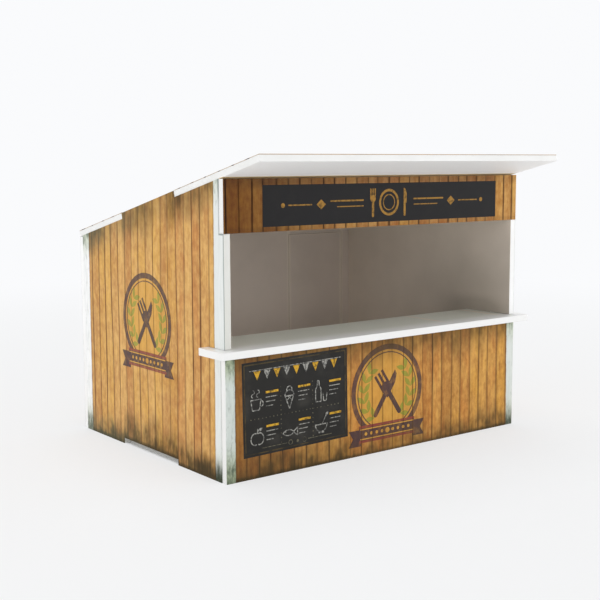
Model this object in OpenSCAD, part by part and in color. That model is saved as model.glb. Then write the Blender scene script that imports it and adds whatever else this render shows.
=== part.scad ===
// Scale model of a street kiosk, cut from rigid foam sheet and faced with printed film.
// Units are millimetres. +Z is up, the serving side faces -Y and the ground is at z = 0.
// The origin is on the ground, midway between the outer faces of the walls.

/* [Body] */
// Width over the outer faces of the side walls
body_w = 138; // [110:1:180]
// Depth from the front face of the apron to the back face of the rear wall
body_d = 102; // [80:1:140]
// Height of the roof's underside at the back face of the rear wall
eave_h = 76.6; // [68:0.2:95]

/* [Sheets] */
// Thickness of the walls, the door, the apron and the fascia
wall_t = 2.5; // [2:0.5:5]
// Thickness of the floor plate
floor_t = 2; // [1:0.5:4]
// Thickness of the printed film on the outer faces
film_t = 0.2; // [0.1:0.05:0.5]
// Play where one sheet slides into a cut in another
fit_gap = 0.1; // [0.05:0.05:0.3]

/* [Roof] */
// Thickness of the roof panel
roof_t = 2.2; // [1:0.2:4]
// Slope of the roof in degrees, rising towards the serving side
roof_pitch = 13.2; // [6:0.1:20]
// Reach of the roof's underside in front of the apron
roof_reach = 20.4; // [8:0.2:40]
// Length along the slope of the tab that each side wall puts through the roof
roof_tab_len = 38; // [15:1:55]
// Distance of that tab's middle in front of the side wall's middle
roof_tab_lead = 1.4; // [-4:0.2:8]

/* [Counter] */
// Height of the counter's underside, which is the apron's upper edge
counter_z = 42.2; // [32:0.2:52]
// Thickness of the counter shelf
counter_t = 2.5; // [2:0.5:5]
// Reach of the counter in front of the apron
counter_reach = 4.2; // [2:0.2:12]
// Depth of the counter behind the front face of the apron
counter_back = 23; // [14:0.5:40]
// Reach of the counter's ears outside the side walls
ear_reach = 3.8; // [1:0.2:10]
// Depth of the ears behind the front face of the apron
ear_back = 10; // [6:0.5:13]

/* [Fascia] */
// Height of the fascia's lower edge, where it stands on the side walls
fascia_z = 82.4; // [70:0.2:90]

/* [Floor] */
// Length of the tab that the floor plate puts into each side wall
floor_tab_len = 39; // [15:1:55]
// Distance by which the floor's tabs stop short of the walls' outer faces
floor_tab_inset = 2.2; // [0:0.2:2.4]

/* [Rear door] */
// Width of the door
door_w = 30.3; // [20:0.1:45]
// Width of the rear wall between the doorway and its right end, seen from the front
door_jamb = 6.8; // [6:0.2:40]
// Height of the rear wall left under the door
door_sill = 2; // [1:0.5:8]
// Height of the rear wall left over the doorway
door_head = 3.2; // [2:0.2:20]
// Width of the saw cut round the door
door_kerf = 0.2; // [0.1:0.05:0.5]

/* [Hidden] */

foam_white = [0.93, 0.94, 0.94];
plank_amber = [0.74, 0.53, 0.29];
roof_brown = [0.62, 0.43, 0.24];

// Planes of the body: outer faces, and the inner faces one sheet further in
half_w = body_w / 2;
inner_half_w = half_w - wall_t;
front_y = -body_d / 2;
rear_y = body_d / 2;
front_in_y = front_y + wall_t;
rear_in_y = rear_y - wall_t;

// The side walls run from the hatch's front edge to the rear wall's inner face
side_mid_y = (front_y + rear_in_y) / 2;
counter_top_z = counter_z + counter_t;

// Lengths along the slope, counted from the rear eave towards the front
roof_len = (body_d + roof_reach) / cos(roof_pitch);
roof_tab_mid = (rear_y - side_mid_y + roof_tab_lead) / cos(roof_pitch);

door_h = eave_h - door_head - door_kerf - door_sill;
doorway_right_x = half_w - door_jamb;
door_left_x = doorway_right_x - door_kerf - door_w;

// Cuts run this far past the edge that they open
cut_over = 1;

// Height of the roof's underside over a point of the plan
function soffit(y) = eave_h + (rear_y - y) * tan(roof_pitch);

fascia_h = soffit(front_in_y) - fascia_z;

// Sheet that stands across the kiosk: the outline's plane is X and Z, its back face is at y_back
module cross_sheet(y_back, thickness) {
    translate([0, y_back, 0])
        rotate([90, 0, 0])
            linear_extrude(height = thickness)
                children();
}

// Sheet that stands along the kiosk: the outline's plane is Y and Z, its left face is at x_left
module side_sheet(x_left, thickness) {
    translate([x_left, 0, 0])
        rotate([90, 0, 90])
            linear_extrude(height = thickness)
                children();
}

// Sheet that lies on the slope of the roof, raised off the roof's underside
module roof_sheet(raised, thickness) {
    translate([0, rear_y, eave_h])
        rotate([-roof_pitch, 0, 0])
            translate([0, 0, raised])
                linear_extrude(height = thickness)
                    children();
}

// Tab of a side wall in the slope's own axes, as far as the roof's upper face
module roof_tab_outline() {
    translate([rear_y, eave_h])
        rotate(-roof_pitch)
            translate([-roof_tab_mid - roof_tab_len / 2, -wall_t])
                square([roof_tab_len, wall_t + roof_t]);
}

// Side wall: sloping top with its tab, less the cuts that take the other sheets
module side_outline() {
    difference() {
        union() {
            polygon([
                [front_y, 0],
                [rear_in_y, 0],
                [rear_in_y, soffit(rear_in_y)],
                [front_y, soffit(front_y)]
            ]);
            roof_tab_outline();
        }
        apron_rebate();
        counter_slot();
        fascia_rebate();
        floor_notch();
    }
}

module apron_rebate() {
    translate([front_y - cut_over, -cut_over])
        square([cut_over + wall_t, cut_over + counter_z]);
}

module counter_slot() {
    translate([front_y - cut_over, counter_z])
        square([cut_over + ear_back + fit_gap, counter_t + fit_gap]);
}

module fascia_rebate() {
    translate([front_y - cut_over, fascia_z])
        square([cut_over + wall_t, soffit(front_y) - fascia_z + cut_over]);
}

module floor_notch() {
    translate([side_mid_y - floor_tab_len / 2 - fit_gap, -cut_over])
        square([floor_tab_len + 2 * fit_gap, cut_over + floor_t + fit_gap]);
}

module apron_outline() {
    translate([-half_w, 0])
        square([body_w, counter_z]);
}

module fascia_outline() {
    translate([-half_w, fascia_z])
        square([body_w, fascia_h]);
}

module door_outline() {
    translate([door_left_x, door_sill])
        square([door_w, door_h]);
}

module rear_outline() {
    difference() {
        translate([-half_w, 0])
            square([body_w, eave_h]);
        translate([door_left_x - door_kerf, door_sill])
            square([door_w + 2 * door_kerf, door_h + door_kerf]);
    }
}

// Counter seen from above: a front strip with ears, and a tongue between the side walls
module counter_outline() {
    ear_w = body_w + 2 * ear_reach;
    tongue_w = 2 * (inner_half_w - fit_gap);
    translate([-ear_w / 2, front_y - counter_reach])
        square([ear_w, counter_reach + ear_back]);
    translate([-tongue_w / 2, front_y])
        square([tongue_w, counter_back]);
}

// Floor seen from above, with the tab at each side
module floor_outline() {
    tabs_w = body_w - 2 * floor_tab_inset;
    translate([-inner_half_w, front_in_y])
        square([2 * inner_half_w, rear_in_y - front_in_y]);
    translate([-tabs_w / 2, side_mid_y - floor_tab_len / 2])
        square([tabs_w, floor_tab_len]);
}

// Roof laid flat, its rear eave on the X axis, with the notch for each side wall's tab
module roof_outline() {
    notch_d = wall_t + fit_gap;
    notch_len = roof_tab_len + 2 * fit_gap;
    difference() {
        translate([-half_w, -roof_len])
            square([body_w, roof_len]);
        for (edge_x = [-half_w, half_w])
            translate([edge_x, -roof_tab_mid])
                square([2 * notch_d, notch_len], center = true);
    }
}

module floor_plate() {
    color(foam_white)
        linear_extrude(height = floor_t)
            floor_outline();
}

module left_wall() {
    color(foam_white)
        side_sheet(-half_w, wall_t)
            side_outline();
}

module right_wall() {
    color(foam_white)
        side_sheet(inner_half_w, wall_t)
            side_outline();
}

module rear_wall() {
    color(foam_white)
        cross_sheet(rear_y, wall_t)
            rear_outline();
}

module rear_door() {
    color(foam_white)
        cross_sheet(rear_y, wall_t)
            door_outline();
}

module front_apron() {
    color(foam_white)
        cross_sheet(front_in_y, wall_t)
            apron_outline();
}

module sign_fascia() {
    color(foam_white)
        cross_sheet(front_in_y, wall_t)
            fascia_outline();
}

module counter_shelf() {
    color(foam_white)
        translate([0, 0, counter_z])
            linear_extrude(height = counter_t)
                counter_outline();
}

module roof_panel() {
    color(foam_white)
        roof_sheet(0, roof_t)
            roof_outline();
}

module left_wall_print() {
    color(plank_amber)
        side_sheet(-half_w - film_t, film_t)
            side_outline();
}

module right_wall_print() {
    color(plank_amber)
        side_sheet(half_w, film_t)
            side_outline();
}

module rear_wall_print() {
    color(plank_amber)
        cross_sheet(rear_y + film_t, film_t)
            rear_outline();
}

module rear_door_print() {
    color(plank_amber)
        cross_sheet(rear_y + film_t, film_t)
            door_outline();
}

module front_apron_print() {
    color(plank_amber)
        cross_sheet(front_y, film_t)
            apron_outline();
}

module sign_fascia_print() {
    color(plank_amber)
        cross_sheet(front_y, film_t)
            fascia_outline();
}

module roof_print() {
    color(roof_brown)
        roof_sheet(roof_t, film_t)
            roof_outline();
}

floor_plate();
left_wall();
right_wall();
rear_wall();
rear_door();
front_apron();
sign_fascia();
counter_shelf();
roof_panel();
left_wall_print();
right_wall_print();
rear_wall_print();
rear_door_print();
front_apron_print();
sign_fascia_print();
roof_print();
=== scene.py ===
"""Looks of the scale model street kiosk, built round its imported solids.

The model is cut from white foam sheet. Printed films on its outer faces show weathered planks, and
the inks on those films are thin raised layers. Lengths are in metres unless a name ends in _mm, and
drawings are in millimetres.
"""

import logging
import math
from collections.abc import Sequence
from dataclasses import dataclass, field
from enum import Enum

import bmesh
import bpy
from mathutils import Matrix, Vector


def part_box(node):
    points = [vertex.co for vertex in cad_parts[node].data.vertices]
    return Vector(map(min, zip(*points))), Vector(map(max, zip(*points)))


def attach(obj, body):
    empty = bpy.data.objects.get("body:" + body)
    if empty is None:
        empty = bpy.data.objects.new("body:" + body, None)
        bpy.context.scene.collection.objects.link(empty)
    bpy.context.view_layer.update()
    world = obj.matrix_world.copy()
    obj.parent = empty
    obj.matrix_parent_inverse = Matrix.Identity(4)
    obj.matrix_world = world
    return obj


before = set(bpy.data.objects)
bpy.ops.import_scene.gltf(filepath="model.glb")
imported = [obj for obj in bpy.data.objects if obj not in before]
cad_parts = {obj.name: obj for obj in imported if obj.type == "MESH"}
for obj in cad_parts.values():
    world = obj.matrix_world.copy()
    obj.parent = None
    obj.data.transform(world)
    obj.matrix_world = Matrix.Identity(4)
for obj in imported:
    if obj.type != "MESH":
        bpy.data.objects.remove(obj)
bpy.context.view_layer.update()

LOG = logging.getLogger("kiosk")
BODY = "root"
MM = 0.001
TO_MM = 1000.0
SKIN_MM = 0.1
CABIN_HALF_MM = SKIN_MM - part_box("left_wall")[1].x * TO_MM
CABIN_FRONT_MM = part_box("front_apron")[1].y * TO_MM - SKIN_MM
CABIN_REAR_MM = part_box("rear_wall_print")[1].y * TO_MM + SKIN_MM
SHELF_TOP_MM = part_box("counter_shelf")[1].z * TO_MM

Socket = bpy.types.NodeSocket
Value = Socket | float
Colour = tuple[float, float, float, float]
Point = tuple[float, float]
Span = tuple[float, float]
Axis = tuple[float, float, float]
Steps = tuple[tuple[float, float, float], ...]


def roof_slope() -> float:
    """Slope of the roof in radians, read off the sheets that carry it."""
    front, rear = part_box("sign_fascia")[1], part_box("rear_wall")[1]
    return math.atan2(front.z - rear.z, rear.y - front.y)


ROOF_PITCH = roof_slope()


def srgb(red: int, green: int, blue: int) -> Colour:
    """Turn a colour as seen on a screen into the linear colour that shaders take.

    Args:
        red: Red from 0 to 255.
        green: Green from 0 to 255.
        blue: Blue from 0 to 255.

    Returns:
        The linear colour with full alpha.
    """
    def linear(step: int) -> float:
        """Linear value of one screen step, by the sRGB standard's curve."""
        share = step / 255
        return share / 12.92 if share <= 0.04045 else ((share + 0.055) / 1.055) ** 2.4

    return (linear(red), linear(green), linear(blue), 1.0)


class Face(Enum):
    """Outer faces of the kiosk that carry a printed film."""

    LEFT = "left_wall_print"
    RIGHT = "right_wall_print"
    REAR = "rear_wall_print"
    FRONT = "front_apron_print"
    FASCIA = "sign_fascia_print"
    ROOF = "roof_print"


class Slot(Enum):
    """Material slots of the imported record."""

    WALL = "wall_print"
    APRON = "apron_print"
    FASCIA = "fascia_print"


class Sketch:
    """Shorthand for wiring one shader node tree."""

    PRINT_ROUGHNESS = 0.6

    def __init__(self, tree: bpy.types.NodeTree) -> None:
        """Keep the tree that the nodes go into."""
        self.tree = tree

    def node(self, kind: str, **settings: object) -> bpy.types.Node:
        """Add a node.

        Args:
            kind: Blender's name of the node type.
            **settings: Properties of the node to set.

        Returns:
            The new node.
        """
        made = self.tree.nodes.new(kind)
        for name, value in settings.items():
            setattr(made, name, value)
        return made

    def feed(self, socket: Socket, value: Value | Colour) -> None:
        """Link a socket to another one, or set it to a constant.

        Args:
            socket: Socket that is fed.
            value: Another socket, or a constant.
        """
        if isinstance(value, bpy.types.NodeSocket):
            self.tree.links.new(value, socket)
        else:
            socket.default_value = value

    def math(self, operation: str, first: Value, second: Value = 0.0, clamp: bool = False) -> Socket:
        """Add a Math node and return its result.

        Args:
            operation: Blender's name of the operation.
            first: First value.
            second: Second value.
            clamp: Whether the result is held between 0 and 1.

        Returns:
            The node's result.
        """
        made = self.node("ShaderNodeMath", operation=operation, use_clamp=clamp)
        self.feed(made.inputs[0], first)
        self.feed(made.inputs[1], second)
        return made.outputs[0]

    def add(self, first: Value, second: Value) -> Socket:
        """Sum of two values."""
        return self.math("ADD", first, second)

    def less(self, first: Value, second: Value) -> Socket:
        """First value without the second."""
        return self.math("SUBTRACT", first, second)

    def times(self, first: Value, *others: Value) -> Value:
        """Product of two or more values.

        Args:
            first: First value.
            *others: Further values.

        Returns:
            The product.
        """
        for other in others:
            first = self.math("MULTIPLY", first, other)
        return first

    def weigh(self, *parts: tuple[Value, float]) -> Value:
        """Sum of values, each times its weight.

        Args:
            *parts: Values, each with its weight.

        Returns:
            The sum.
        """
        total: Value = 0.0
        for value, weight in parts:
            total = self.add(total, self.times(value, weight))
        return total

    def peak(self, first: Value, second: Value) -> Socket:
        """Higher of two values."""
        return self.math("MAXIMUM", first, second)

    def size(self, value: Value) -> Socket:
        """A value without its sign."""
        return self.math("ABSOLUTE", value)

    def below(self, value: Value, limit: Value) -> Socket:
        """1 where a value is under a limit."""
        return self.math("LESS_THAN", value, limit)

    def above(self, value: Value, limit: Value) -> Socket:
        """1 where a value is over a limit."""
        return self.math("GREATER_THAN", value, limit)

    def vector(self, x: Value, y: Value, z: Value = 0.0) -> Socket:
        """Vector of three values.

        Args:
            x: First part.
            y: Second part.
            z: Third part.

        Returns:
            The vector.
        """
        made = self.node("ShaderNodeCombineXYZ")
        for socket, value in zip(made.inputs, (x, y, z)):
            self.feed(socket, value)
        return made.outputs[0]

    def here(self) -> Socket:
        """Object coordinates of the shaded point."""
        return self.node("ShaderNodeTexCoord").outputs["Object"]

    def axes_mm(self, place: Socket) -> Sequence[Socket]:
        """Object coordinates as three values in millimetres.

        Args:
            place: Object coordinates.

        Returns:
            The three values.
        """
        scaled = self.node("ShaderNodeVectorMath", operation="SCALE")
        self.feed(scaled.inputs[0], place)
        scaled.inputs["Scale"].default_value = TO_MM
        parts = self.node("ShaderNodeSeparateXYZ")
        self.feed(parts.inputs[0], scaled.outputs[0])
        return parts.outputs

    def noise(self, place: Socket, scale: float, detail: float, roughness: float = 0.5) -> Socket:
        """Add smooth noise.

        Args:
            place: Coordinates that it reads.
            scale: Grains to each unit of the coordinates.
            detail: Octaves of finer noise.
            roughness: Share of the finer noise.

        Returns:
            The noise, from 0 to 1.
        """
        made = self.node("ShaderNodeTexNoise", noise_dimensions="3D")
        self.feed(made.inputs["Vector"], place)
        for name, value in (("Scale", scale), ("Detail", detail), ("Roughness", roughness)):
            made.inputs[name].default_value = value
        return made.outputs[0]

    def cloud(self, across: Value, along: Value, grains: Span, seed: Value, detail: float = 2.0) -> Socket:
        """Add smooth noise over a flat print.

        Args:
            across: First coordinate in millimetres.
            along: Second coordinate in millimetres.
            grains: Grains to the millimetre in each.
            seed: Third coordinate, which picks the pattern.
            detail: Octaves of finer noise.

        Returns:
            The noise, from 0 to 1.
        """
        place = self.vector(self.times(across, grains[0]), self.times(along, grains[1]), seed)
        return self.noise(place, 1.0, detail, self.PRINT_ROUGHNESS)

    def ramp(self, value: Value, low: Value, high: Value, start: float = 0.0, end: float = 1.0) -> Socket:
        """Ease a value from one range to another, held at both ends.

        Args:
            value: What is mapped.
            low: Value that gives start.
            high: Value that gives end.
            start: Result at low.
            end: Result at high.

        Returns:
            The eased result.
        """
        made = self.node("ShaderNodeMapRange", interpolation_type="SMOOTHSTEP")
        for socket, given in zip(made.inputs, (value, low, high, start, end)):
            self.feed(socket, given)
        return made.outputs[0]

    def fade(self, value: Value, low: Value, high: Value, start: float = 1.0) -> Socket:
        """Ease from a start at one value down to 0 at another."""
        return self.ramp(value, low, high, start, 0.0)

    def mix(self, factor: Value, under: Socket | Colour, over: Socket | Colour, blend: str = "MIX") -> Socket:
        """Blend two colours.

        Args:
            factor: Share of the second colour.
            under: First colour.
            over: Second colour.
            blend: Blender's name of the blend.

        Returns:
            The blended colour.
        """
        made = self.node("ShaderNodeMix", data_type="RGBA", blend_type=blend)
        self.feed(made.inputs[0], factor)
        self.feed(made.inputs[6], under)
        self.feed(made.inputs[7], over)
        return made.outputs[2]


@dataclass(frozen=True)
class Ruler:
    """Straight scale over a piece, which reads each of its points in millimetres."""

    direction: Axis
    zero_mm: float = 0.0

    def read(self, sketch: Sketch, place: Socket) -> Socket:
        """Reading of the ruler at the shaded point.

        Args:
            sketch: Tree that the nodes go into.
            place: Object coordinates.

        Returns:
            The reading in millimetres.
        """
        dot = sketch.node("ShaderNodeVectorMath", operation="DOT_PRODUCT")
        sketch.feed(dot.inputs[0], place)
        dot.inputs[1].default_value = Vector(self.direction) * TO_MM
        return sketch.add(dot.outputs["Value"], self.zero_mm)


LEVEL = Ruler((0, 0, 1))
SIDEWAYS = Ruler((1, 0, 0))


class PrintGroup:
    """Base of the shader groups: a named node group with typed sockets."""

    title = "group"
    inputs: Sequence[tuple[str, str]] = ()
    outputs: Sequence[tuple[str, str]] = ()
    kinds = {"value": "NodeSocketFloat", "colour": "NodeSocketColor"}

    def __init__(self) -> None:
        """Make the group's sockets and wire its inside once."""
        self.tree = bpy.data.node_groups.new(self.title, "ShaderNodeTree")
        for way, sockets in (("INPUT", self.inputs), ("OUTPUT", self.outputs)):
            for name, kind in sockets:
                self.tree.interface.new_socket(name, in_out=way, socket_type=self.kinds[kind])
        sketch = Sketch(self.tree)
        given = sketch.node("NodeGroupInput")
        results = self.wire(sketch, {name: given.outputs[name] for name, _ in self.inputs})
        end = sketch.node("NodeGroupOutput")
        for name, socket in results.items():
            sketch.feed(end.inputs[name], socket)
        LOG.info("shader group %s", self.title)

    def wire(self, sketch: Sketch, given: dict[str, Socket]) -> dict[str, Socket]:
        """Wire the inside of the group.

        Args:
            sketch: The group's tree.
            given: The group's inputs by name.

        Returns:
            The group's outputs by name.
        """
        raise NotImplementedError

    def place(self, sketch: Sketch, **values: Value | Colour) -> dict[str, Socket]:
        """Put the group into a material.

        Args:
            sketch: The material's tree.
            **values: What each input takes, its name in lower case with underscores.

        Returns:
            The group's outputs by name.
        """
        made = sketch.node("ShaderNodeGroup", node_tree=self.tree)
        for name, _ in self.inputs:
            sketch.feed(made.inputs[name], values[name.lower().replace(" ", "_")])
        return {name: made.outputs[name] for name, _ in self.outputs}


class PlankGroup(PrintGroup):
    """Boards side by side: a tone for each board, grain along it and dark gaps between."""

    title = "plank_print"
    inputs = (
        ("Across", "value"), ("Along", "value"), ("Pitch", "value"), ("Gap Width", "value"),
        ("Seed", "value"), ("Light", "colour"), ("Deep", "colour"), ("Gap", "colour"),
    )
    outputs = (("Color", "colour"), ("Gap Mask", "value"), ("Height", "value"))
    ruddy = srgb(236, 196, 164)
    sallow = srgb(254, 248, 200)
    wander_mm = 0.42
    tone_span = (0.66, 1.20)
    soft_mm = (0.08, 1.0)

    def wire(self, sketch: Sketch, given: dict[str, Socket]) -> dict[str, Socket]:
        """Wire boards, grain and gaps.

        Args:
            sketch: Tree that the nodes go into.
            given: The group's inputs by name.

        Returns:
            The group's outputs by name.
        """
        across, along, seed = given["Across"], given["Along"], given["Seed"]

        def cloud(grains: Span, layer: Value, detail: float = 3.0) -> Socket:
            """Noise over the print."""
            return sketch.cloud(across, along, grains, layer, detail)

        def chance(number: Socket, shift: float) -> Sequence[Socket]:
            """Three random values for each whole number.

            Args:
                number: Whole number.
                shift: Offset from the seed.

            Returns:
                The three values.
            """
            drawn = sketch.node("ShaderNodeTexWhiteNoise", noise_dimensions="2D")
            cell = sketch.vector(sketch.add(number, 0.5), sketch.add(seed, shift))
            sketch.feed(drawn.inputs["Vector"], cell)
            parts = sketch.node("ShaderNodeSeparateColor")
            sketch.feed(parts.inputs[0], drawn.outputs["Color"])
            return parts.outputs

        drift = sketch.ramp(cloud((0.16, 0.012), seed, 1.0), 0.25, 0.75, -self.wander_mm, self.wander_mm)
        board = sketch.math("DIVIDE", sketch.add(across, drift), given["Pitch"])
        inside = sketch.math("FRACT", board)
        edge = sketch.times(sketch.math("MINIMUM", inside, sketch.less(1.0, inside)), given["Pitch"])
        own = chance(sketch.math("FLOOR", board), 0.0)
        layer = sketch.add(sketch.times(own[0], 40.0), seed)

        streak = cloud((4.5, 0.22), layer)
        tone = sketch.weigh(
            (own[0], 0.16), (cloud((0.9, 0.06), layer, 4.0), 0.42), (streak, 0.24),
            (cloud((0.14, 0.07), seed), 0.42), (cloud((0.55, 0.34), sketch.add(seed, 11.0), 5.0), 0.62),
        )
        colour = sketch.mix(sketch.ramp(tone, *self.tone_span), given["Deep"], given["Light"])
        hue = sketch.weigh((cloud((0.22, 0.08), sketch.add(seed, 21.0), 4.0), 0.66), (own[1], 0.34))
        colour = sketch.mix(sketch.ramp(hue, 0.50, 0.72, 0.0, 0.52), colour, self.ruddy, "MULTIPLY")
        colour = sketch.mix(sketch.ramp(hue, 0.50, 0.28, 0.0, 0.70), colour, self.sallow, "MULTIPLY")

        line = chance(sketch.math("FLOOR", sketch.add(board, 0.5)), 50.0)
        worn = sketch.ramp(cloud((0.3, 0.05), sketch.add(seed, 9.0)), 0.25, 0.75, 0.65, 1.35)
        soft = sketch.times(sketch.fade(edge, *self.soft_mm, 0.38), sketch.ramp(line[2], 0.0, 1.0, 0.25, 1.0))
        colour = sketch.mix(soft, colour, given["Gap"])
        width = sketch.times(worn, given["Gap Width"], sketch.ramp(line[0], 0.0, 1.0, 0.6, 1.4))
        gap = sketch.fade(edge, sketch.times(width, 0.3), width)
        shown = sketch.times(gap, sketch.ramp(line[1], 0.0, 0.9, 0.55, 1.0))
        colour = sketch.mix(shown, colour, given["Gap"])
        return {"Color": colour, "Gap Mask": gap, "Height": sketch.less(sketch.times(streak, 0.5), gap)}


class GrimeGroup(PrintGroup):
    """Dark mould that creeps up from a lower edge and down from an upper one, over a darker band right along
    the lower edge.
    """

    title = "edge_grime"
    inputs = (
        ("Color", "colour"), ("Across", "value"), ("Rise", "value"), ("Drop", "value"),
        ("Foot", "value"), ("Head", "value"), ("Grey", "value"), ("Seed", "value"),
    )
    outputs = (("Color", "colour"), ("Mask", "value"))
    thin_brown_grey = (srgb(86, 68, 40), srgb(86, 90, 72))
    thick_brown_grey = (srgb(50, 43, 22), srgb(64, 67, 50))
    foot_reach_mm = 15.0
    head_reach_mm = 20.0
    rim_mm = 1.8

    def wire(self, sketch: Sketch, given: dict[str, Socket]) -> dict[str, Socket]:
        """Wire both edges and the tint.

        Args:
            sketch: Tree that the nodes go into.
            given: The group's inputs by name.

        Returns:
            The group's outputs by name.
        """
        across, rise, seed = given["Across"], given["Rise"], given["Seed"]
        streak = sketch.cloud(across, rise, (0.8, 0.07), seed, 3.0)
        blot = sketch.cloud(across, rise, (0.22, 0.13), sketch.add(seed, 31.0))
        rough = sketch.times(
            sketch.ramp(streak, 0.28, 0.72, 0.80, 1.12), sketch.ramp(blot, 0.30, 0.70, 0.62, 1.18)
        )
        calm = sketch.ramp(rough, 0.5, 1.3, 0.74, 1.06)

        def creep(
            distance: Socket, strength: Socket, shift: float, reach_mm: float, coarse: Socket
        ) -> Socket:
            """Mask of the grime along one edge.

            Args:
                distance: Distance from the edge.
                strength: Strength of the grime.
                shift: Offset from the seed.
                reach_mm: How far the grime reaches.
                coarse: How uneven it is.

            Returns:
                The mask.
            """
            cloud = sketch.cloud(across, distance, (0.085, 0.02), sketch.add(seed, shift))
            reach = sketch.times(
                sketch.ramp(cloud, 0.30, 0.70, 0.5, 1.15), reach_mm, sketch.ramp(strength, 0.0, 1.6, 0.6, 1.3)
            )
            return sketch.times(sketch.fade(distance, 0.0, reach), coarse, strength)

        # A darker band right along the lower edge.
        rim = sketch.times(sketch.fade(rise, 0.0, self.rim_mm, 0.5), given["Foot"])
        foot = sketch.add(creep(rise, given["Foot"], 3.0, self.foot_reach_mm, rough), rim)
        head = creep(given["Drop"], given["Head"], 17.0, self.head_reach_mm, calm)
        total = sketch.add(foot, head)
        mask = sketch.ramp(total, 0.0, 1.25)
        thin = sketch.mix(given["Grey"], *self.thin_brown_grey)
        thick = sketch.mix(given["Grey"], *self.thick_brown_grey)
        veil = sketch.mix(sketch.times(mask, 0.80), given["Color"], thin)
        core = sketch.ramp(total, 0.65, 1.7, 0.0, 0.8)
        return {"Color": sketch.mix(core, veil, thick), "Mask": mask}


class PostGroup(PrintGroup):
    """Pale corner strip of a wall, with grey streaks and specks of mould."""

    title = "corner_strip"
    inputs = (
        ("Color", "colour"), ("Inset", "value"), ("Width", "value"), ("Rise", "value"),
        ("Drop", "value"), ("Pale", "colour"), ("Mould", "value"), ("Foot", "value"), ("Seed", "value"),
    )
    outputs = (("Color", "colour"),)
    edge_brown = srgb(64, 42, 24)
    streak_grey = srgb(158, 172, 166)
    end_green = srgb(170, 184, 134)
    speck_green = srgb(84, 98, 80)
    foot_dark = srgb(56, 63, 46)
    soft_mm = 0.16
    shade_mm = 0.9
    ragged_mm = 0.08

    def wire(self, sketch: Sketch, given: dict[str, Socket]) -> dict[str, Socket]:
        """Wire the strip's outline, tone and mould.

        Args:
            sketch: Tree that the nodes go into.
            given: The group's inputs by name.

        Returns:
            The group's outputs by name.
        """
        inset, rise, mould, seed = given["Inset"], given["Rise"], given["Mould"], given["Seed"]
        ragged = sketch.cloud(rise, inset, (0.35, 0.2), seed, 4.0)
        edge = sketch.add(given["Width"], sketch.ramp(ragged, 0.3, 0.7, -self.ragged_mm, self.ragged_mm))
        mask = sketch.ramp(inset, sketch.add(edge, self.soft_mm), sketch.add(edge, -self.soft_mm))
        shade = sketch.ramp(inset, sketch.add(edge, self.shade_mm), edge, 0.0, 0.45)
        under = sketch.mix(shade, given["Color"], self.edge_brown)

        cloud = sketch.cloud(inset, rise, (0.8, 0.12), seed, 4.0)
        veil = sketch.times(sketch.ramp(cloud, 0.34, 0.75, 0.0, 0.34), sketch.ramp(mould, 0.0, 1.0, 0.2, 1.0))
        pale = sketch.mix(veil, given["Pale"], self.streak_grey)
        ends = sketch.peak(sketch.fade(given["Drop"], 0.0, 11.0), sketch.fade(rise, 0.0, 16.0))
        pale = sketch.mix(sketch.times(ends, mould, 0.75), pale, self.end_green)
        speck = sketch.cloud(inset, rise, (0.75, 0.30), sketch.add(seed, 5.0), 5.0)
        grown = sketch.add(speck, sketch.times(ends, 0.25))
        grown = sketch.times(grown, sketch.ramp(mould, 0.0, 1.2, 0.8, 1.05))
        pale = sketch.mix(sketch.ramp(grown, 0.50, 0.95, 0.0, 0.9), pale, self.speck_green)
        foot = sketch.times(sketch.fade(rise, 0.0, 10.0, 0.95), sketch.ramp(speck, 0.3, 0.7, 0.75, 1.1))
        foot = sketch.math("MULTIPLY", foot, given["Foot"], clamp=True)
        return {"Color": sketch.mix(mask, under, sketch.mix(foot, pale, self.foot_dark))}


class FoamGroup(PrintGroup):
    """Faint mottling and fine pores of rigid foam sheet."""

    title = "foam_grain"
    inputs = (("Color", "colour"), ("Shade", "colour"))
    outputs = (("Color", "colour"), ("Height", "value"))
    cloud_scale = 70.0
    pore_scale = 3800.0

    def wire(self, sketch: Sketch, given: dict[str, Socket]) -> dict[str, Socket]:
        """Wire clouds and pores in object space.

        Args:
            sketch: Tree that the nodes go into.
            given: The group's inputs by name.

        Returns:
            The group's outputs by name.
        """
        place = sketch.here()
        share = sketch.ramp(sketch.noise(place, self.cloud_scale, 3.0), 0.35, 0.70, 0.0, 0.6)
        colour = sketch.mix(share, given["Color"], given["Shade"])
        return {"Color": colour, "Height": sketch.noise(place, self.pore_scale, 2.0)}


@dataclass(frozen=True)
class Groups:
    """The shader groups that the finishes share."""

    planks: PlankGroup = field(default_factory=PlankGroup)
    grime: GrimeGroup = field(default_factory=GrimeGroup)
    post: PostGroup = field(default_factory=PostGroup)
    foam: FoamGroup = field(default_factory=FoamGroup)


@dataclass(frozen=True)
class Relief:
    """Fine relief of a finish: real depth of a height of 1, and share of the effect."""

    depth: float
    strength: float


FOAM_RELIEF = Relief(0.03 * MM, 0.35)
FILM_RELIEF = Relief(0.02 * MM, 0.25)
CHALK_RELIEF = Relief(0.02 * MM, 0.2)


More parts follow.
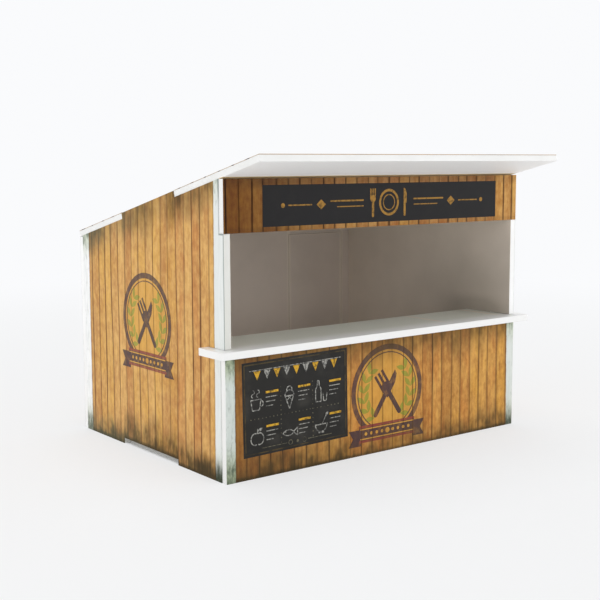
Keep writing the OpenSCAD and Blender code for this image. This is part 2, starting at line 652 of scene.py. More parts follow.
class Coat:
    """Material under way: its node tree and its one shader."""

    def __init__(self, name: str, specular: float) -> None:
        """Start a material whose shader has a constant specular level.

        Args:
            name: The material's name.
            specular: Specular level of its shader.
        """
        self.material = bpy.data.materials.new(name)
        self.material.use_nodes = True
        self.sketch = Sketch(self.material.node_tree)
        self.shader = self.material.node_tree.nodes["Principled BSDF"]
        self.shader.inputs["Specular IOR Level"].default_value = specular

    def finish(
        self, colour: Socket, dirt: Socket, rough: Span, height: Socket, relief: Relief
    ) -> bpy.types.Material:
        """Feed the shader.

        Args:
            colour: Base colour.
            dirt: Share of dirt or pores, from 0 to 1.
            rough: Roughness where that share is 0 and where it is 1.
            height: Height over the surface, about 0 to 1.
            relief: Depth and strength of that height.

        Returns:
            The finished material.
        """
        raised = self.sketch.node("ShaderNodeBump")
        raised.inputs["Strength"].default_value = relief.strength
        raised.inputs["Distance"].default_value = relief.depth
        self.sketch.feed(raised.inputs["Height"], height)
        self.sketch.feed(self.shader.inputs["Base Color"], colour)
        self.sketch.feed(self.shader.inputs["Roughness"], self.sketch.ramp(dirt, 0.0, 1.0, *rough))
        self.sketch.feed(self.shader.inputs["Normal"], raised.outputs["Normal"])
        return self.material


@dataclass(frozen=True)
class FoamFinish:
    """Bare white foam sheet, with a warm tint and painted shade on faces that look into the cabin."""

    name: str
    tint: Colour
    shade: Colour
    inner_tint_and_shade: Colour | None = None
    cabin_front_mm: float = CABIN_FRONT_MM
    fade_mm: float = 0.05
    rough: Span = (0.40, 0.64)
    specular: float = 0.3
    leak: Colour = srgb(242, 229, 214)
    leak_mm: float = 1.5
    # Painted shade on the floor tabs' end faces, deep in the wall notches.
    tab_shade: Colour | None = None
    # Whiter colour of the roof panel's lower face: painted light.
    under: Colour | None = None
    # Painted brown shade in the gap over the fascia.
    crevice_shade: Colour | None = None
    # Painted shade on a side wall's inner face.
    cabin_wall_shade: Colour | None = None

    def material(self, groups: Groups) -> bpy.types.Material:
        """Make the sheet's material from the shared groups.

        Args:
            groups: The shared groups.

        Returns:
            The finished material.
        """
        coat = Coat(self.name, self.specular)
        sketch, place = coat.sketch, coat.sketch.here()
        grain = groups.foam.place(sketch, color=self.tint, shade=self.shade)
        colour = grain["Color"]
        # Faces that look into the cabin get a warm tint that also darkens them: painted shade.
        if self.inner_tint_and_shade:
            inner_tint_and_shade = sketch.mix(self._slit(sketch, place), self.inner_tint_and_shade, self.leak)
            colour = sketch.mix(self._inside(sketch, place), colour, inner_tint_and_shade, "MULTIPLY")
        for tint, share, blend in (
            (self.tab_shade, self._tab_end_shade, "MIX"),
            (self.under, self._underside, "MIX"),
            (self.crevice_shade, self._crevice_shade, "MIX"),
            (self.cabin_wall_shade, self._cabin_wall_shade, "MULTIPLY"),
        ):
            if tint:
                colour = sketch.mix(share(sketch, place), colour, tint, blend)
        return coat.finish(colour, grain["Height"], self.rough, grain["Height"], FOAM_RELIEF)

    def _inside(self, sketch: Sketch, place: Socket) -> Socket:
        """1 on and within the cabin's inner faces.

        Args:
            sketch: Tree that the nodes go into.
            place: Object coordinates.

        Returns:
            The share, from 0 to 1.
        """
        x, y, _ = sketch.axes_mm(place)
        inside = sketch.times(sketch.below(sketch.size(x), CABIN_HALF_MM), sketch.below(y, CABIN_REAR_MM))
        start, end = (self.cabin_front_mm + side * self.fade_mm for side in (-1, 1))
        return sketch.times(inside, sketch.ramp(y, start, end))

    def _tab_end_shade(self, sketch: Sketch, place: Socket) -> Socket:
        """Share of painted shade on the floor tabs' end faces, set back in the wall notches, thickest at
        their upper edge.

        Args:
            sketch: Tree that the nodes go into.
            place: Object coordinates.

        Returns:
            The share, from 0 to 1.
        """
        x, _, z = sketch.axes_mm(place)
        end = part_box("floor_plate")[1] * TO_MM
        outer = sketch.ramp(sketch.size(x), end.x - 0.3, end.x - 0.1)
        return sketch.times(outer, sketch.ramp(z, 0.0, end.z, 0.35, 0.95))

    def _underside(self, sketch: Sketch, place: Socket) -> Socket:
        """1 on the roof panel's lower face.

        Args:
            sketch: Tree that the nodes go into.
            place: Object coordinates.

        Returns:
            The share, from 0 to 1.
        """
        sine, cosine = math.sin(ROOF_PITCH), math.cos(ROOF_PITCH)
        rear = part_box("rear_wall")[1] * TO_MM
        lift = Ruler((0, sine, cosine), -rear.y * sine - rear.z * cosine)
        return sketch.fade(lift.read(sketch, place), 0.05, 0.15)

    def _crevice_shade(self, sketch: Sketch, place: Socket) -> Socket:
        """Share of painted brown shade on the roof panel's lower face, in the gap over the fascia.

        Args:
            sketch: Tree that the nodes go into.
            place: Object coordinates.

        Returns:
            The share, from 0 to 1.
        """
        front, back = (corner.y * TO_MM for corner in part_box("sign_fascia"))
        depth = Ruler((0, 1, 0), -front).read(sketch, place)
        over = sketch.times(sketch.ramp(depth, -0.4, 0.0), sketch.below(depth, back - front))
        return sketch.times(over, self._underside(sketch, place))

    def _cabin_wall_shade(self, sketch: Sketch, place: Socket) -> Socket:
        """Share of painted shade on a side wall's inner face, thickest low down, just over the shelf and
        towards the front.

        Args:
            sketch: Tree that the nodes go into.
            place: Object coordinates.

        Returns:
            The share, from 0 to 1.
        """
        x, y, z = sketch.axes_mm(place)
        depth, rise = sketch.add(y, -CABIN_FRONT_MM), sketch.add(z, -SHELF_TOP_MM)
        shelf_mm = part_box("counter_shelf")[1].y * TO_MM - CABIN_FRONT_MM
        corner = sketch.times(
            sketch.ramp(depth, 0.0, 12.0, 0.3, 1.0),
            sketch.fade(depth, 0.6 * shelf_mm, 2.1 * shelf_mm),
            sketch.fade(rise, 0.2, 8.0, 0.7),
        )
        low = sketch.times(sketch.fade(rise, 9.0, 40.0, 0.68), sketch.fade(depth, 18.0, 65.0))
        front = sketch.times(sketch.fade(depth, 0.0, 40.0, 0.44), sketch.ramp(rise, 22.0, 37.0, 1.0, 0.3))
        share = sketch.peak(sketch.add(low, corner), front)
        return sketch.times(sketch.below(sketch.size(x), CABIN_HALF_MM), share)

    def _slit(self, sketch: Sketch, place: Socket) -> Socket:
        """Daylight round the rear door: 1 along the slits at both sides, and less over it.

        Args:
            sketch: Tree that the nodes go into.
            place: Object coordinates.

        Returns:
            The share, from 0 to 1.
        """
        x, _, z = sketch.axes_mm(place)
        low, high = (corner * TO_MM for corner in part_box("rear_door"))
        core_mm = 0.2 * self.leak_mm
        over = sketch.fade(sketch.size(sketch.add(z, -high.z)), core_mm, 0.6 * self.leak_mm, 0.6)
        beside = sketch.size(sketch.add(x, -0.5 * (low.x + high.x)))
        over = sketch.times(over, sketch.below(beside, 0.5 * (high.x - low.x)))
        apart = (sketch.size(sketch.add(x, -corner.x)) for corner in (low, high))
        return sketch.peak(over, sketch.peak(*(sketch.fade(gap, core_mm, self.leak_mm) for gap in apart)))


@dataclass(frozen=True)
class Strip:
    """Pale corner strip of a film: where it starts, how wide it is and how mouldy."""

    inset: Ruler
    width_mm: float
    pale: Colour
    mould: float = 1.0
    foot: float = 1.0


@dataclass(frozen=True)
class Wood:
    """Tones of a plank print: its pale grain, its deep grain and the gaps."""

    light: Colour
    deep: Colour
    gap: Colour


@dataclass(frozen=True)
class PlankFinish:
    """Film printed with boards, grime at its edges and pale strips at its corners."""

    name: str
    across: Ruler
    along: Ruler
    rise: Ruler
    drop: Ruler
    pitch_mm: float
    wood: Wood
    seed: float
    gap_mm: float = 0.25
    specular: float = 0.2
    rough: Span = (0.42, 0.74)
    strips: tuple[Strip, ...] = ()
    foot: float = 1.0
    head: float = 1.0
    foot_more: Steps = ()
    head_more: Steps = ()
    grey_mm: Span | None = None
    notch_mm: tuple[float, float, float] = (0.0, 0.0, 0.0)
    # Darker towards the film's left end: partly painted shade, partly the print's own darker tone.
    shade: Colour | None = None
    shade_reach_mm: float = 60.0
    # Painted shadow along the upper edge, and a darker band along the lower edge.
    eave_shade: Colour | None = None
    eave_mm: Span = (1.2, 4.6)
    eave_foot_mm: Span = (1.0, 2.2)
    eave_left_mm: Span = (8.0, 16.0)
    eave_right_mm: Span = (122.0, 130.0)
    # Painted shade at the film's front edge: a grey hairline and a short tick.
    seam_shade: Ruler | None = None
    seam_shade_tint: Colour = srgb(112, 126, 122)
    cut_mm: float = 0.0
    cut_tint: Colour = srgb(238, 230, 214)
    side_cut_tint: Colour = srgb(204, 195, 180)

    def material(self, groups: Groups) -> bpy.types.Material:
        """Make the film's material from the shared groups.

        Args:
            groups: The shared groups.

        Returns:
            The finished material.
        """
        coat = Coat(self.name, self.specular)
        sketch, place = coat.sketch, coat.sketch.here()
        colour, planks = self.boards(groups, sketch, place)
        colour, grime = self.weathered(groups, sketch, place, colour)
        gap = planks["Gap Mask"]
        # Painted shade at the front edge.
        if self.seam_shade:
            colour = sketch.mix(self._seam_shade(sketch, place), colour, self.seam_shade_tint)
        if self.cut_mm:
            colour = self._cut(sketch, place, gap, colour)
        return coat.finish(colour, sketch.peak(grime, gap), self.rough, planks["Height"], FILM_RELIEF)

    def boards(self, groups: Groups, sketch: Sketch, place: Socket) -> tuple[Socket, dict[str, Socket]]:
        """Wire the boards without their grime.

        Args:
            groups: The shared groups.
            sketch: The material's tree.
            place: Object coordinates.

        Returns:
            The colour and the plank group's outputs.
        """
        across = self.across.read(sketch, place)
        planks = groups.planks.place(
            sketch, across=across, along=self.along.read(sketch, place), pitch=self.pitch_mm,
            gap_width=self.gap_mm, seed=self.seed,
            light=self.wood.light, deep=self.wood.deep, gap=self.wood.gap,
        )
        colour = planks["Color"]
        # Darker towards the left end: partly painted shade, partly the print's own darker tone.
        if self.shade:
            colour = sketch.mix(sketch.fade(across, 0.0, self.shade_reach_mm), colour, self.shade, "MULTIPLY")
        # Painted shadow of the roof along the top, and a darker band along the foot.
        if self.eave_shade:
            colour = sketch.mix(self._eave_shade(sketch, place, across), colour, self.eave_shade, "MULTIPLY")
        return colour, planks

    def _eave_shade(self, sketch: Sketch, place: Socket, across: Socket) -> Socket:
        """Share of the painted shadow along the upper edge and of a darker band along the lower edge, less at
        both ends.

        Args:
            sketch: Tree that the nodes go into.
            place: Object coordinates.
            across: Reading across the boards.

        Returns:
            The share, from 0 to 1.
        """
        upper = sketch.fade(self.drop.read(sketch, place), *self.eave_mm)
        lower = sketch.fade(self.rise.read(sketch, place), *self.eave_foot_mm, 0.6)
        left = sketch.ramp(across, *self.eave_left_mm, 0.5, 1.0)
        right = sketch.ramp(across, *self.eave_right_mm, 1.0, 0.35)
        return sketch.times(sketch.peak(upper, lower), sketch.times(left, right))

    def weathered(
        self, groups: Groups, sketch: Sketch, place: Socket, colour: Socket
    ) -> tuple[Socket, Socket]:
        """Lay the grime and the corner strips over a colour.

        Args:
            groups: The shared groups.
            sketch: The material's tree.
            place: Object coordinates.
            colour: What lies beneath.

        Returns:
            The weathered colour and the grime's mask.
        """
        across, rise, drop = (ruler.read(sketch, place) for ruler in (self.across, self.rise, self.drop))

        def strength(level: Value, steps: Steps) -> Value:
            """Strength of the grime along an edge, which rises and falls in steps.

            Args:
                level: Strength before the steps.
                steps: Start, end and gain of each step.

            Returns:
                The strength at the shaded point.
            """
            for start, end, gain in steps:
                level = sketch.add(sketch.ramp(across, start, end, 0.0, gain), level)
            return level

        start, end, height = self.notch_mm
        notch = sketch.times(sketch.above(across, start), sketch.below(across, end), height)
        grime = groups.grime.place(
            sketch, color=colour, across=across, rise=sketch.less(rise, notch), drop=drop, seed=self.seed,
            foot=strength(self.foot, self.foot_more), head=strength(self.head, self.head_more),
            grey=sketch.ramp(across, *self.grey_mm) if self.grey_mm else 0.0,
        )
        colour = grime["Color"]
        for number, strip in enumerate(self.strips):
            colour = groups.post.place(
                sketch, color=colour, inset=strip.inset.read(sketch, place), width=strip.width_mm, rise=rise,
                drop=drop, pale=strip.pale, mould=strip.mould, foot=strip.foot, seed=self.seed + number,
            )["Color"]
        return colour, grime["Mask"]

    def _seam_shade(self, sketch: Sketch, place: Socket) -> Socket:
        """Mask of painted shade at a wall film's front edge: a grey hairline above the counter, and a short
        tick under the fascia's lower edge.

        Args:
            sketch: Tree that the nodes go into.
            place: Object coordinates.

        Returns:
            The share, from 0 to 1.
        """
        low, high = (corner * TO_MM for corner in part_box("sign_fascia"))
        level, inset = LEVEL.read(sketch, place), self.seam_shade.read(sketch, place)
        fascia = sketch.above(level, low.z)
        back = sketch.less(inset, sketch.times(fascia, high.y - low.y))
        line = sketch.fade(back, 0.08, sketch.ramp(fascia, 0.0, 1.0, 0.22, 0.5))
        share = sketch.times(sketch.ramp(self.drop.read(sketch, place), 2.0, 9.0, 0.9, 0.3), fascia)
        share = sketch.peak(share, sketch.fade(fascia, 0.0, 1.0, 0.7))
        foot = sketch.size(sketch.add(level, 0.2 - low.z))
        tick = sketch.times(sketch.fade(foot, 0.12, 0.4, 0.7), sketch.fade(inset, 2.4, 2.8))
        return sketch.peak(sketch.times(line, sketch.above(level, SHELF_TOP_MM), share), tick)

    def _cut(self, sketch: Sketch, place: Socket, gap: Socket, colour: Socket) -> Socket:
        """Lay the tints of the film's cut edges over a colour; at the sides the gaps stay dark.

        Args:
            sketch: The material's tree.
            place: Object coordinates.
            gap: Mask of the gaps between the boards.
            colour: What lies beneath.

        Returns:
            The colour with its cut edges.
        """
        near, far = 0.5 * self.cut_mm, self.cut_mm
        half_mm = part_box(self.name)[1].x * TO_MM
        side = sketch.size(SIDEWAYS.read(sketch, place))
        side = sketch.ramp(side, half_mm - far, half_mm - near, 0.0, 0.88)
        colour = sketch.mix(sketch.times(side, sketch.less(1.0, gap)), colour, self.side_cut_tint)
        ends = (sketch.fade(ruler.read(sketch, place), near, far, 0.6) for ruler in (self.rise, self.drop))
        return sketch.mix(sketch.peak(*ends), colour, self.cut_tint)


@dataclass(frozen=True)
class InkFinish:
    """Ink over a film's boards, thin enough for the gaps and the grain to show through."""

    name: str
    ink: Colour
    film: PlankFinish
    cover: float = 0.8
    gap_loss: float = 0.45
    wear_scale: float = 420.0
    specular: float = 0.18
    rough: Span = (0.38, 0.74)

    def material(self, groups: Groups) -> bpy.types.Material:
        """Make the ink's material over the boards of its film.

        Args:
            groups: The shared groups.

        Returns:
            The finished material.
        """
        coat = Coat(self.name, self.specular)
        sketch, place = coat.sketch, coat.sketch.here()
        colour, planks = self.film.boards(groups, sketch, place)
        gap = planks["Gap Mask"]
        wear = sketch.ramp(sketch.noise(place, self.wear_scale, 4.0), 0.32, 0.52, 0.78, 1.0)
        cover = sketch.times(sketch.less(self.cover, sketch.times(gap, self.gap_loss)), wear)
        colour = sketch.mix(cover, colour, self.ink)
        colour, grime = self.film.weathered(groups, sketch, place, colour)
        return coat.finish(colour, sketch.peak(grime, gap), self.rough, planks["Height"], FILM_RELIEF)


@dataclass(frozen=True)
class BoardFinish:
    """Dark board with faint smears, or chalk with gaps where the board shows."""

    name: str
    tone: Colour
    smear: Colour
    scale: float
    span: Span
    most: float
    specular: float = 0.12
    rough: Span = (0.46, 0.66)

    def material(self, groups: Groups) -> bpy.types.Material:
        """Make the material: a tone broken up by smears.

        Args:
            groups: The shared groups.

        Returns:
            The finished material.
        """
        coat = Coat(self.name, self.specular)
        sketch = coat.sketch
        share = sketch.ramp(sketch.noise(sketch.here(), self.scale, 5.0), *self.span, 0.0, self.most)
        grain = groups.foam.place(sketch, color=self.tone, shade=self.smear)
        colour = sketch.mix(share, self.tone, self.smear)
        return coat.finish(colour, share, self.rough, grain["Height"], CHALK_RELIEF)


@dataclass(frozen=True)
class Panel:
    """Flat outer face of a film, with its own right and up."""

    node: str
    right: Axis
    normal: Axis

    def matrix(self, u_mm: float, v_mm: float) -> Matrix:
        """Place a drawing on the face.

        Args:
            u_mm: Where the drawing's origin lies along right, from the kiosk's middle.
            v_mm: Height of the drawing's origin above the ground.

        Returns:
            Matrix from the drawing's millimetres to the kiosk.
        """
        low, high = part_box(self.node)
        right, normal, up = Vector(self.right), Vector(self.normal), Vector((0, 0, 1))
        reach = max(corner.dot(normal) for corner in (low, high))
        origin = right * u_mm * MM + up * v_mm * MM + normal * reach
        turn = Matrix((right, up, normal)).transposed().to_4x4()
        return Matrix.Translation(origin) @ turn @ Matrix.Scale(MM, 4)


PANELS = {
    Face.LEFT: Panel(Face.LEFT.value, (0, -1, 0), (-1, 0, 0)),
    Face.RIGHT: Panel(Face.RIGHT.value, (0, 1, 0), (1, 0, 0)),
    Face.FRONT: Panel(Face.FRONT.value, (1, 0, 0), (0, -1, 0)),
    Face.FASCIA: Panel(Face.FASCIA.value, (1, 0, 0), (0, -1, 0)),
}


def turned(degrees: float) -> Matrix:
    """Turn in the plane of a drawing."""
    return Matrix.Rotation(math.radians(degrees), 4, "Z")


class FlatArt:
    """Flat drawing in millimetres, put together from bmesh shapes round a movable origin."""

    ARC_STEP = math.radians(9)
    LEAF_TAPER = 1.6
    LEVELS = 9
    LEVEL_MM = 0.0012

    def __init__(self) -> None:
        """Start an empty drawing."""
        self.bm = bmesh.new()
        self.count = 0
        self.origin: Point = (0, 0)

    def _level(self) -> float:
        """Height of the next shape, so that shapes that cross never share a plane."""
        self.count += 1
        return self.count % self.LEVELS * self.LEVEL_MM

    def _at(self, point: Point) -> Point:
        """Point of the drawing for a point round the origin."""
        return (self.origin[0] + point[0], self.origin[1] + point[1])

    def _shift(self, point: Point) -> Matrix:
        """Move to a point round the origin, at the height of the next shape."""
        return Matrix.Translation((*self._at(point), self._level()))

    def bar(self, start: Point, end: Point, width: float) -> None:
        """Straight stroke between two points.

        Args:
            start: First end of its middle line.
            end: Other end.
            width: Width of the stroke.
        """
        head, tail = Vector(self._at(start)), Vector(self._at(end))
        run = tail - head
        middle = (head + tail) / 2
        place = (
            Matrix.Translation((middle.x, middle.y, self._level()))
            @ Matrix.Rotation(math.atan2(run.y, run.x), 4, "Z")
            @ Matrix.Diagonal((run.length, width, 1, 1))
        )
        bmesh.ops.create_grid(self.bm, x_segments=1, y_segments=1, size=0.5, matrix=place)

    def path(self, points: Sequence[Point], width: float) -> None:
        """Straight strokes through a few points."""
        for start, end in zip(points, points[1:]):
            self.bar(start, end, width)

    def arc(
        self, centre: Point, radius: float, start_deg: float, sweep_deg: float, width: float,
        stretch: Point = (1, 1),
    ) -> None:
        """Curved stroke: a short edge spun about a centre.

        Args:
            centre: Middle of the arc.
            radius: Radius of the stroke's middle line.
            start_deg: Where the arc starts, from the right, in degrees.
            sweep_deg: How far it turns.
            width: Width of the stroke.
            stretch: Scale of the arc along right and up.
        """
        before = set(self.bm.verts)
        inner = self.bm.verts.new((radius - width / 2, 0, 0))
        outer = self.bm.verts.new((radius + width / 2, 0, 0))
        edge = self.bm.edges.new((inner, outer))
        full = abs(sweep_deg) >= 360
        sweep = math.radians(sweep_deg)
        bmesh.ops.spin(
            self.bm, geom=[inner, outer, edge], cent=(0, 0, 0), axis=(0, 0, 1), angle=sweep,
            steps=max(3, round(abs(sweep) / self.ARC_STEP)), use_merge=full, use_duplicate=False,
        )
        place = self._shift(centre) @ Matrix.Diagonal((*stretch, 1, 1)) @ turned(start_deg)
        spun = [vert for vert in self.bm.verts if vert not in before]
        bmesh.ops.transform(self.bm, matrix=place, verts=spun)

    def ring(self, centre: Point, radius: float, width: float) -> None:
        """Closed curved stroke."""
        self.arc(centre, radius, 0, 360, width)

    def disc(
        self, centre: Point, radius: float, stretch: Point = (1, 1), turn_deg: float = 0, segments: int = 40
    ) -> None:
        """Filled circle or ellipse."""
        place = self._shift(centre) @ turned(turn_deg) @ Matrix.Diagonal((*stretch, 1, 1))
        bmesh.ops.create_circle(self.bm, cap_ends=True, radius=radius, segments=segments, matrix=place)

    def leaf(self, foot: Point, length: float, width: float, turn_deg: float) -> None:
        """Pointed leaf that grows from its foot.

        Args:
            foot: Where it grows from.
            length: Length from foot to tip.
            width: Greatest width.
            turn_deg: Turn from the right in degrees.
        """
        outline = bmesh.ops.create_circle(self.bm, cap_ends=True, radius=1, segments=16)["verts"]
        for vert in outline:
            taper = max(0.0, 1 - abs(vert.co.x) ** self.LEAF_TAPER)
            half = math.copysign(taper, vert.co.y) * width / 2
            vert.co = Vector(((vert.co.x + 1) * length / 2, half, 0))
            if abs(vert.co.y) < 1e-6:
                vert.co.y = 0
        bmesh.ops.transform(self.bm, matrix=self._shift(foot) @ turned(turn_deg), verts=outline)

    def shape(self, points: Sequence[Point]) -> None:
        """Filled outline through a few points."""
        level = self._level()
        self.bm.faces.new([self.bm.verts.new((*self._at(point), level)) for point in points])

    def press(
        self, name: str, place: Matrix, thickness_mm: float, material: bpy.types.Material
    ) -> bpy.types.Object:
        """Thicken the drawing and lay it on its face.

        Args:
            name: Name of the piece.
            place: Matrix from the drawing to the kiosk.
            thickness_mm: How far the ink stands off the face.
            material: Its finish.

        Returns:
            The new piece.
        """
        self.bm.normal_update()
        for facet in self.bm.faces:
            if facet.normal.z < 0:
                facet.normal_flip()
        bmesh.ops.solidify(self.bm, geom=self.bm.faces[:], thickness=thickness_mm)
        lowest = min(vert.co.z for vert in self.bm.verts)
        bmesh.ops.translate(self.bm, vec=(0, 0, -lowest), verts=self.bm.verts)
        self.bm.transform(place)
        bmesh.ops.recalc_face_normals(self.bm, faces=self.bm.faces)
        piece = new_object(name, self.bm)
        piece.data.materials.append(material)
        return piece


def new_object(name: str, bm: bmesh.types.BMesh) -> bpy.types.Object:
    """Put a finished bmesh into the scene as an object at the origin, and free it.

    Args:
        name: Name of the object and its mesh.
        bm: The finished bmesh.

    Returns:
        The new object.
    """
    mesh = bpy.data.meshes.new(name)
    bm.to_mesh(mesh)
    bm.free()
    made = bpy.data.objects.new(name, mesh)
    bpy.context.scene.collection.objects.link(made)
    return made


def seat(piece: bpy.types.Object, slot: Slot) -> None:
    """Fix a new piece to the kiosk.

    Args:
        piece: The new piece.
        slot: Its record slot; not used.
    """
    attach(piece, BODY)
    LOG.info("piece %s, %d faces", piece.name, len(piece.data.polygons))


@dataclass
class Sheets:
    """The cut foam sheets, which keep their solids and get a finish and softened edges."""

    white: Colour = srgb(240, 240, 238)
    shade: Colour = srgb(232, 232, 229)
    # Darker white of the left wall's foam: painted shade.
    left_shaded_white: Colour = srgb(223, 223, 216)
    # Whiter white of the right and rear sheets: painted light.
    lit_white: Colour = srgb(250, 250, 249)
    # Warm tints that also darken the faces inside the cabin: painted shade.
    inner_tint_and_shade: Colour = srgb(234, 220, 207)
    side_inner_tint_and_shade: Colour = srgb(245, 232, 218)
    rear_inner_tint_and_shade: Colour = srgb(229, 215, 203)
    shelf_white: Colour = srgb(241, 241, 239)
    shelf_rough: Span = (0.24, 0.48)
    shelf_specular: float = 0.5
    shelf_fade_mm: float = 5.0
    # Tone of the shelf's part inside the cabin: slightly darker and yellower.
    shelf_inner_tone: Colour = srgb(228, 229, 219)
    # Grey of the painted shade on the floor tabs' end faces, deep in the wall notches.
    recess_shade: Colour = srgb(84, 79, 64)
    # Painted shade on the right wall's inner face.
    cabin_wall_shade: Colour = srgb(198, 198, 197)
    # Whiter than the other foam, for the roof's lower face: painted light.
    underside_lit_white: Colour = srgb(249, 249, 248)
    # Brown tint of the painted shade in the gap over the fascia.
    crevice_shade_tan: Colour = srgb(246, 222, 178)
    # Side walls take the cabin's warm tint and painted shade from this depth back, their front edges too.
    open_front_mm: float = -60.0
    edge_radius: float = 0.12 * MM
    edge_angle: float = math.radians(40)
    weld: float = 0.005 * MM

    def dress(self, groups: Groups) -> None:
        """Give every sheet its finish and slightly rounded edges.

        Args:
            groups: The shared groups.
        """
        roof = FoamFinish(
            "foam_roof", self.white, self.shade, under=self.underside_lit_white, crevice_shade=self.crevice_shade_tan
        )
        floor = FoamFinish("foam_floor", self.white, self.shade, tab_shade=self.recess_shade)
        shelf = FoamFinish(
            "foam_shelf", self.shelf_white, self.white, self.shelf_inner_tone,
            fade_mm=self.shelf_fade_mm, rough=self.shelf_rough, specular=self.shelf_specular,
        )
        front = FoamFinish("foam_front", self.white, self.shade, self.inner_tint_and_shade)
        # The left wall's foam is a darker white: painted shade.
        left = FoamFinish("foam_left", self.left_shaded_white, self.shade, self.side_inner_tint_and_shade, self.open_front_mm)
        # The right and rear sheets' foam is a whiter white: painted light.
        right = FoamFinish(
            "foam_right", self.lit_white, self.white, self.side_inner_tint_and_shade, self.open_front_mm, cabin_wall_shade=self.cabin_wall_shade
        )
        rear = FoamFinish("foam_rear", self.lit_white, self.white, self.rear_inner_tint_and_shade)
        for finish, names in (
            (roof, ("roof_panel",)),
            (floor, ("floor_plate",)),
            (shelf, ("counter_shelf",)),
            (front, ("front_apron", "sign_fascia")),
            (left, ("left_wall",)),
            (right, ("right_wall",)),
            (rear, ("rear_wall", "rear_door")),
        ):
            material = finish.material(groups)
            for name in names:
                self._dress_sheet(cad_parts[name], material)

    def _dress_sheet(self, sheet: bpy.types.Object, material: bpy.types.Material) -> None:
        """Dress one sheet.

        Args:
            sheet: The sheet's object.
            material: Its finish.
        """
        sheet.data.materials.clear()
        sheet.data.materials.append(material)
        joined = sheet.modifiers.new("joined", "WELD")
        joined.merge_threshold = self.weld
        soft = sheet.modifiers.new("soft_edge", "BEVEL")
        soft.width = self.edge_radius
        soft.segments = 2
        soft.limit_method = "ANGLE"
        soft.angle_limit = self.edge_angle
        LOG.info("sheet %s dressed", sheet.name)


